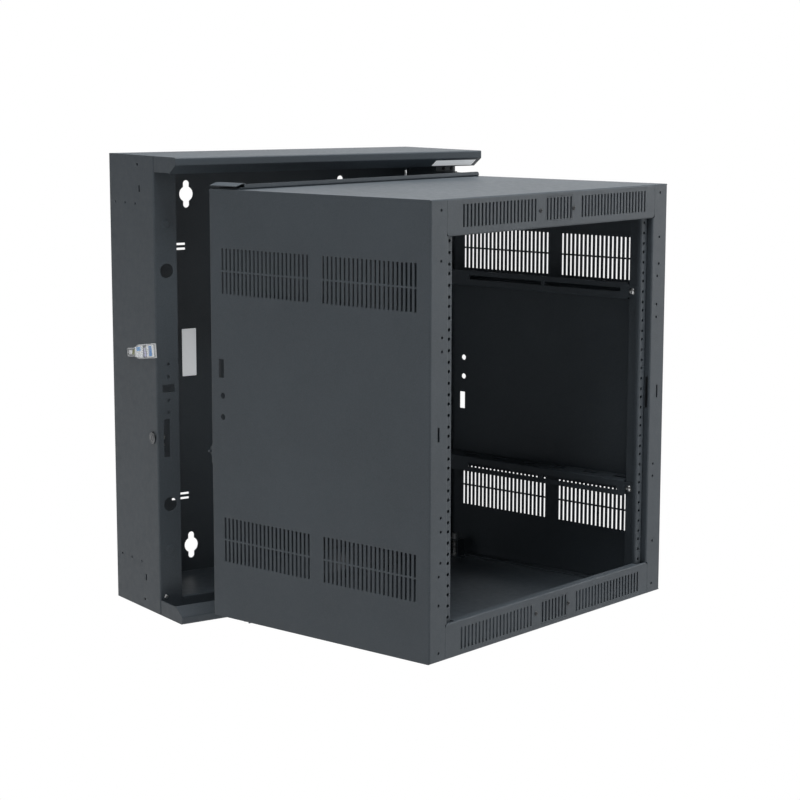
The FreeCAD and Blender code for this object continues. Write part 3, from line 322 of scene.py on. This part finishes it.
def lock_head():
    """Lock's body with rings turned in its face."""
    corners = box_corners("lock_body")
    low = Vector([min(corner[i] for corner in corners) for i in range(3)])
    high = Vector([max(corner[i] for corner in corners) for i in range(3)])
    wall = low.x + LOCK_HEAD_HEIGHT * MM
    foot = Vector((wall, (low.y + high.y) / 2, (low.z + high.z) / 2))
    profile = [(radius * MM, height * MM) for radius, height in LOCK_RINGS]
    points, faces = lathe(profile, foot, Vector((-1, 0, 0)), 48)
    # painted reflection: the dark plate colour on the lock stands in for the dark surroundings its
    # chrome head reflects
    turned = piece("lock_body_turned", points, faces, MATERIALS["black_chrome"], PAN)
    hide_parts("lock_body")


# Sleeve sizes in mm. Its length runs from 0 at the front to 1 at the rear, as in CARDS.
SLEEVE_LENGTH = 100.0
SLEEVE_WIDTH = 22.4
SLEEVE_HEIGHT = 3.9
SLEEVE_TILT = math.radians(-8.0)
NECK_START = 0.62
NECK_LENGTH = 0.1
NECK_LOSS = 0.38
FILM_LONG_STEPS = 40
FILM_WIDE_STEPS = 14
FILM_BACK = 0.3
WELT_HEIGHT = 0.35
CARD_LIFTS = (3.3, 3.4)
BAND_LIFT = 0.12
# Plain cards and colour bands: name, start and end along, low and high across, colour.
CARDS = (
    ("card_white", 0.40, 0.67, -0.86, 0.86, (0.85, 0.87, 0.88)),
    ("card_front", 0.03, 0.27, -0.8, 0.8, (0.85, 0.87, 0.88)),
    ("card_rear", 0.77, 0.87, -0.42, 0.48, (0.8, 0.81, 0.82)),
    ("band_blue", 0.10, 0.20, -0.7, 0.7, (0.15, 0.31, 0.6)),
    ("patch_blue", 0.47, 0.62, 0.12, 0.66, (0.2, 0.4, 0.68)),
    ("line_dark", 0.365, 0.39, -0.85, 0.2, (0.05, 0.06, 0.16)),
    ("band_lilac", 0.29, 0.36, -0.7, 0.5, (0.55, 0.55, 0.74)),
    ("patch_grey", 0.27, 0.31, 0.0, 0.6, (0.45, 0.5, 0.42)),
    ("tag_olive", 0.67, 0.77, -0.5, 0.5, (0.2, 0.21, 0.1)),
    ("dot_dark", 0.90, 0.925, -0.36, -0.16, (0.06, 0.06, 0.06)),
)


def sleeve_place():
    """Middle of the sleeve on the wall, and the ways along it, up it and out of the wall."""
    corners = box_corners("key_sleeve")
    middle = sum(corners, Vector()) / len(corners)
    middle.x = max(corner.x for corner in corners)
    turn = Matrix.Rotation(SLEEVE_TILT, 3, "X")
    return middle, turn @ Vector((0, 1, 0)), turn @ Vector((0, 0, 1)), Vector((-1, 0, 0))


def sleeve_half_width(along):
    """Half the sleeve's width: narrower at its rear."""
    narrow = min(1.0, max(0.0, (along - NECK_START) / NECK_LENGTH))
    return (1 - NECK_LOSS * narrow * narrow * (3 - 2 * narrow)) * SLEEVE_WIDTH / 2


def sleeve_point(place, along, across, lift):
    """Point of the sleeve: share along it, share of its half width, mm out of the wall."""
    middle, forward, up, out = place
    lengthwise = forward * (along - 0.5) * SLEEVE_LENGTH
    crosswise = up * across * sleeve_half_width(along)
    return middle + (lengthwise + crosswise + out * lift) * MM


def puff_height(along, across):
    """How far the front film stands over the rear one: flat at its edges, creased between."""
    puff = (1 - across ** 8) * (1 - (2 * along - 1) ** 14)
    long_crease = 0.05 * math.sin(41 * along + 3 * across)
    cross_crease = 0.03 * math.sin(23 * across + 9 * along)
    return (SLEEVE_HEIGHT - WELT_HEIGHT) * puff * (0.92 + long_crease + cross_crease)


def key_sleeve():
    """Puffed plastic sleeve with flat welded edges and plain cards, in place of the CAD sleeve."""
    place = sleeve_place()
    points = []
    for sheet in (1, 0):
        for i in range(FILM_LONG_STEPS + 1):
            along = i / FILM_LONG_STEPS
            for j in range(FILM_WIDE_STEPS + 1):
                across = 2 * j / FILM_WIDE_STEPS - 1
                lift = FILM_BACK + sheet * puff_height(along, across)
                points.append(sleeve_point(place, along, across, lift))
    row = FILM_WIDE_STEPS + 1
    sheet_points = row * (FILM_LONG_STEPS + 1)
    faces = []
    for sheet in (0, 1):
        for i in range(FILM_LONG_STEPS):
            for j in range(FILM_WIDE_STEPS):
                a = sheet * sheet_points + i * row + j
                faces.append((a, a + 1, a + row + 1, a + row))
    film = piece("key_sleeve_film", points, faces, MATERIALS["clear_sleeve"], PAN, 60.0)
    film.data.materials.append(clear_film("sleeve_welt", 0.8))
    for face in film.data.polygons:
        along, across = divmod(face.index % (FILM_LONG_STEPS * FILM_WIDE_STEPS), FILM_WIDE_STEPS)
        if across in (0, FILM_WIDE_STEPS - 1) or along in (0, FILM_LONG_STEPS - 1):
            face.material_index = 1
    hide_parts("key_sleeve")
    for name, start, end, low, high, colour in CARDS:
        on_card = 0.0 if name.startswith("card") else BAND_LIFT
        corners = []
        for lift in CARD_LIFTS:
            for along, across in ((start, low), (end, low), (end, high), (start, high)):
                corners.append(sleeve_point(place, along, across, lift + on_card))
        faces = [(0, 1, 2, 3), (7, 6, 5, 4), (0, 4, 5, 1), (1, 5, 6, 2), (2, 6, 7, 3), (3, 7, 4, 0)]
        paper = white_paper("sleeve_" + name, colour, CARD_GLOW)
        piece("sleeve_" + name, corners, faces, paper, PAN)


# --- Stage -----------------------------------------------------------------------------------
FLOOR_HALF_SIZE = 30.0
FLOOR_DROP = 1.2
MIDDLE = (0.0, -0.4, 0.0)


def backdrop_material():
    """Pale floor that shows white to the camera, in reflections and through clear film."""
    m = Nodes("stage_white")
    tree = m.tree
    m.set(Base_Color=(0.8, 0.8, 0.8, 1), Roughness=0.9)
    rays = m.add("LightPath").outputs
    seen = m.add("Math", {0: rays["Is Camera Ray"], 1: rays["Is Glossy Ray"]}, operation="MAXIMUM")
    seen = m.add("Math", {0: seen.outputs[0], 1: rays["Is Transmission Ray"]}, operation="MAXIMUM")
    white = m.add("Emission", {"Color": (1, 1, 1, 1), "Strength": 1.0})
    mix = m.add("MixShader", {0: seen.outputs[0]})
    tree.links.new(m.shader.outputs[0], mix.inputs[1])
    tree.links.new(white.outputs[0], mix.inputs[2])
    tree.links.new(mix.outputs[0], tree.nodes["Material Output"].inputs["Surface"])
    return m.material


def floor():
    """Floor well under the cabinet, which hangs on a wall. The camera sees it as plain white."""
    mesh = bpy.data.meshes.new("stage_floor")
    size = FLOOR_HALF_SIZE
    z = CAD_BOX[0][2] - FLOOR_DROP
    corners = [(-size, -size, z), (size, -size, z), (size, size, z), (-size, size, z)]
    mesh.from_pydata(corners, [], [(0, 1, 2, 3)])
    plane = bpy.data.objects.new("stage_floor", mesh)
    bpy.context.collection.objects.link(plane)
    mesh.materials.append(backdrop_material())


def world_light(strength):
    """Dim, even light from all round, behind which the camera sees plain white."""
    world = bpy.data.worlds.new("studio")
    bpy.context.scene.world = world
    world.use_nodes = True
    tree = world.node_tree
    light = tree.nodes["Background"]
    light.inputs["Color"].default_value = (1.0, 1.0, 1.0, 1)
    light.inputs["Strength"].default_value = strength
    seen = tree.nodes.new("ShaderNodeBackground")
    seen.inputs["Color"].default_value = (1, 1, 1, 1)
    seen.inputs["Strength"].default_value = 1.0
    path = tree.nodes.new("ShaderNodeLightPath")
    either = tree.nodes.new("ShaderNodeMath")
    either.operation = "MAXIMUM"
    mix = tree.nodes.new("ShaderNodeMixShader")
    tree.links.new(path.outputs["Is Camera Ray"], either.inputs[0])
    tree.links.new(path.outputs["Is Transmission Ray"], either.inputs[1])
    tree.links.new(either.outputs[0], mix.inputs[0])
    tree.links.new(light.outputs[0], mix.inputs[1])
    tree.links.new(seen.outputs[0], mix.inputs[2])
    tree.links.new(mix.outputs[0], tree.nodes["World Output"].inputs["Surface"])


def area_light(name, place, size, power):
    """Soft rectangular lamp that points at the cabinet's middle."""
    data = bpy.data.lights.new(name, "AREA")
    data.shape = "RECTANGLE"
    data.size, data.size_y = size
    data.energy = power
    lamp = bpy.data.objects.new(name, data)
    lamp.location = place
    lamp.rotation_euler = (Vector(MIDDLE) - Vector(place)).to_track_quat("-Z", "Y").to_euler()
    bpy.context.collection.objects.link(lamp)


def camera():
    """Camera at the viewing angle of the stored pose: from the left front, a little above."""
    place = Vector((-1.7257, -2.9696, 0.4768))
    yaw = math.radians(33.93)
    pitch = math.radians(9.11)
    roll = math.radians(0.08)
    data = bpy.data.cameras.new("camera")
    data.sensor_width = 36.0
    data.lens = 93.501
    data.shift_x = -0.002
    data.shift_y = 0.01
    level = math.cos(pitch)
    forward = Vector((math.sin(yaw) * level, math.cos(yaw) * level, -math.sin(pitch)))
    right = Vector((math.cos(yaw), -math.sin(yaw), 0))
    up = right.cross(forward)
    turn = Matrix((right, up, -forward)).transposed() @ Matrix.Rotation(roll, 3, "Z")
    shooter = bpy.data.objects.new("camera", data)
    shooter.matrix_world = Matrix.Translation(place) @ turn.to_4x4()
    bpy.context.collection.objects.link(shooter)
    bpy.context.scene.camera = shooter


# --- Assembly --------------------------------------------------------------------------------
dress_cad_nodes()
round_heads("brace_bolts", RACK, RACK_X, DOME, MATERIALS["bright_zinc"])
round_heads("fascia_screws", RACK, RACK_Y, RECESSED, MATERIALS["black_screw"])
round_heads("hinge_bracket_screws", PAN, Vector((0, 1, 0)), RECESSED, MATERIALS["black_screw"])
round_heads("ledge_rivet", PAN, Vector((0, 1, 0)), DOME, MATERIALS["bright_zinc"])
lock_head()
key_sleeve()
floor()
world_light(0.03)
area_light("top_soft", (0.0, -0.8, 3.2), (3.0, 3.0), 168)
area_light("right_soft", (4.0, -1.4, 1.2), (2.4, 2.4), 56)
area_light("front_right_low", (2.6, -3.6, 0.1), (2.0, 2.0), 5.5)
area_light("left_soft", (-4.0, -0.8, 1.2), (2.4, 2.4), 14.5)
area_light("front_left_soft", (-3.2, -3.4, 1.6), (2.4, 2.4), 9)
area_light("back_right_soft", (3.0, 3.2, 1.5), (3.0, 2.0), 24)
camera()
bpy.context.scene.view_settings.view_transform = "Standard"
